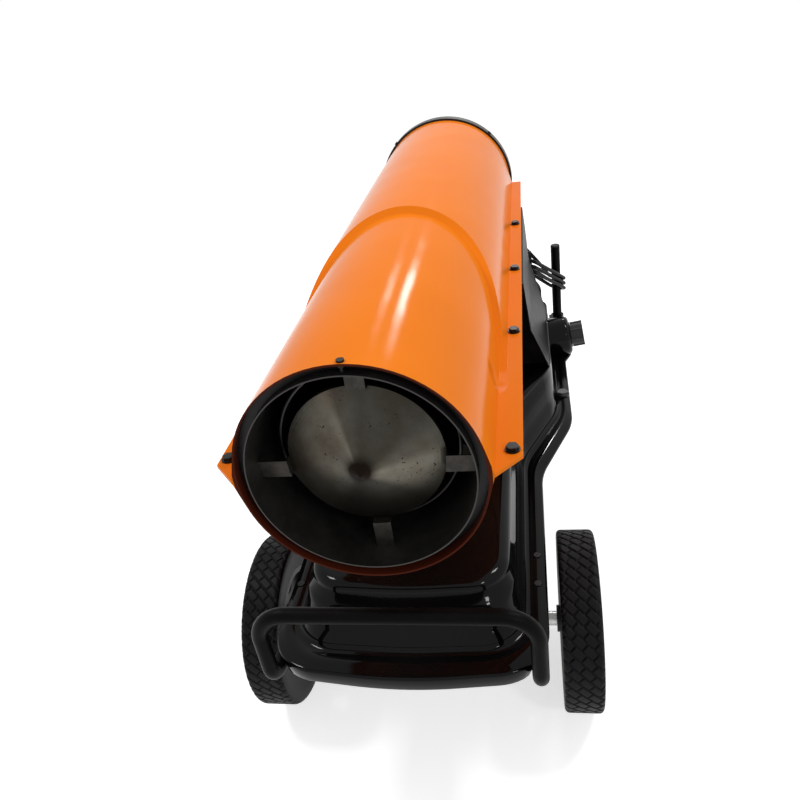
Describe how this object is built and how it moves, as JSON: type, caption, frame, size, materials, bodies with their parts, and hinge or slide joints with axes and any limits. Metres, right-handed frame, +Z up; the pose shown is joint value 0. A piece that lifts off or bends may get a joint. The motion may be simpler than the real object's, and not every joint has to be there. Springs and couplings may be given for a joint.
{
  "type": "portable forced-air heater",
  "caption": "Wheeled oil-fired forced-air heater: a stepped barrel with a flame cone and fan on a wide fuel tank, with a front handle, rear stand and wound cord.",
  "frame": {"origin": "on the floor, under the barrel's axis and midway along the heater's length", "axes": "+Z is up, the hot-air outlet faces -Y, and +X is on the right seen from the outlet"},
  "size_m": [0.5266, 1.104, 0.6817],
  "materials": {
    "orange_enamel": "gloss enamel",
    "black_enamel": "gloss enamel",
    "grey_enamel": "satin enamel",
    "black_tube": "satin powder coat",
    "bright_steel": "bright sheet",
    "heat_steel": "heat-tarnished sheet",
    "zinc": "zinc plated",
    "cast_alloy": "die cast",
    "brass": "machined",
    "ceramic": null,
    "tyre_rubber": "matt",
    "soft_rubber": "matt",
    "black_plastic": "moulded",
    "grey_plastic": "moulded",
    "board": "circuit board",
    "cord_sheath": "shiny sheath"
  },
  "bodies": {
    "frame": {"upper_shell": "orange_enamel", "lower_shell": "orange_enamel", "outlet_ring": "black_enamel", "rear_ring": "black_enamel", "tank_upper": "black_enamel", "tank_lower": "black_enamel", "filler_neck": "black_enamel", "axle_brackets": "black_enamel", "stand_clamps": "black_enamel", "pedestal_right": "grey_enamel", "pedestal_left": "grey_enamel", "pedestal_front": "grey_enamel", "pedestal_rear": "grey_enamel", "motor_bracket": "grey_enamel", "cord_hook": "grey_enamel", "front_handle": "black_tube", "rear_stand": "black_tube", "rear_guard": "black_tube", "heat_liner": "bright_steel", "liner_spacers": "bright_steel", "flame_tube": "heat_steel", "flame_cone": "heat_steel", "cone_tabs": "heat_steel", "burner_head": "heat_steel", "flange_screws": "zinc", "trim_screws": "zinc", "cone_rivets": "zinc", "frame_bolts": "zinc", "axle": "zinc", "wheel_spacers": "zinc", "fuel_pickup": "zinc", "drain_plug": "zinc", "fuel_pump": "cast_alloy", "nozzle_holder": "brass", "burner_nozzle": "brass", "fuel_line": "brass", "spark_electrodes": "ceramic", "stand_feet": "soft_rubber", "suction_hose": "soft_rubber", "post_caps": "soft_rubber", "axle_caps": "black_plastic", "thermostat_body": "black_plastic", "switch_housing": "black_plastic", "cord_gland": "black_plastic", "power_plug": "black_plastic", "flame_sensor": "black_plastic", "fuel_gauge": "grey_plastic", "motor": "grey_plastic", "ignition_transformer": "grey_plastic", "control_board": "board", "power_cord": "cord_sheath"},
    "wheel_left": {"tyre_left": "tyre_rubber", "hub_left": "black_plastic"},
    "wheel_right": {"tyre_right": "tyre_rubber", "hub_right": "black_plastic"},
    "rotor": {"motor_shaft": "zinc", "fan": "black_plastic"},
    "cap": {"fuel_cap": "grey_plastic"},
    "thermostat": {"thermostat_knob": "black_plastic"},
    "rocker": {"power_switch": "black_plastic"}
  },
  "joints": [
    {"name": "wheel_left_spin", "type": "hinge", "parent": "frame", "child": "wheel_left", "pos_m": [-0.221, -0.353, 0.127], "axis": [1, 0, 0], "continuous": true},
    {"name": "wheel_right_spin", "type": "hinge", "parent": "frame", "child": "wheel_right", "pos_m": [0.221, -0.353, 0.127], "axis": [1, 0, 0], "continuous": true},
    {"name": "fan_spin", "type": "hinge", "parent": "frame", "child": "rotor", "pos_m": [0, 0.448, 0.538], "axis": [0, 1, 0], "continuous": true},
    {"name": "fuel_cap_lift", "type": "slide", "parent": "frame", "child": "cap", "axis": [0.9903, 0, 0.1392], "range_m": [0, 0.04]},
    {"name": "thermostat_turn", "type": "hinge", "parent": "frame", "child": "thermostat", "pos_m": [-0.07, 0.346, 0.35], "axis": [0, 1, 0], "range_deg": [0, 270]},
    {"name": "power_switch_rock", "type": "hinge", "parent": "frame", "child": "rocker", "pos_m": [0.02, 0.348, 0.35], "axis": [-1, 0, 0], "range_deg": [0, 16]}
  ]
}
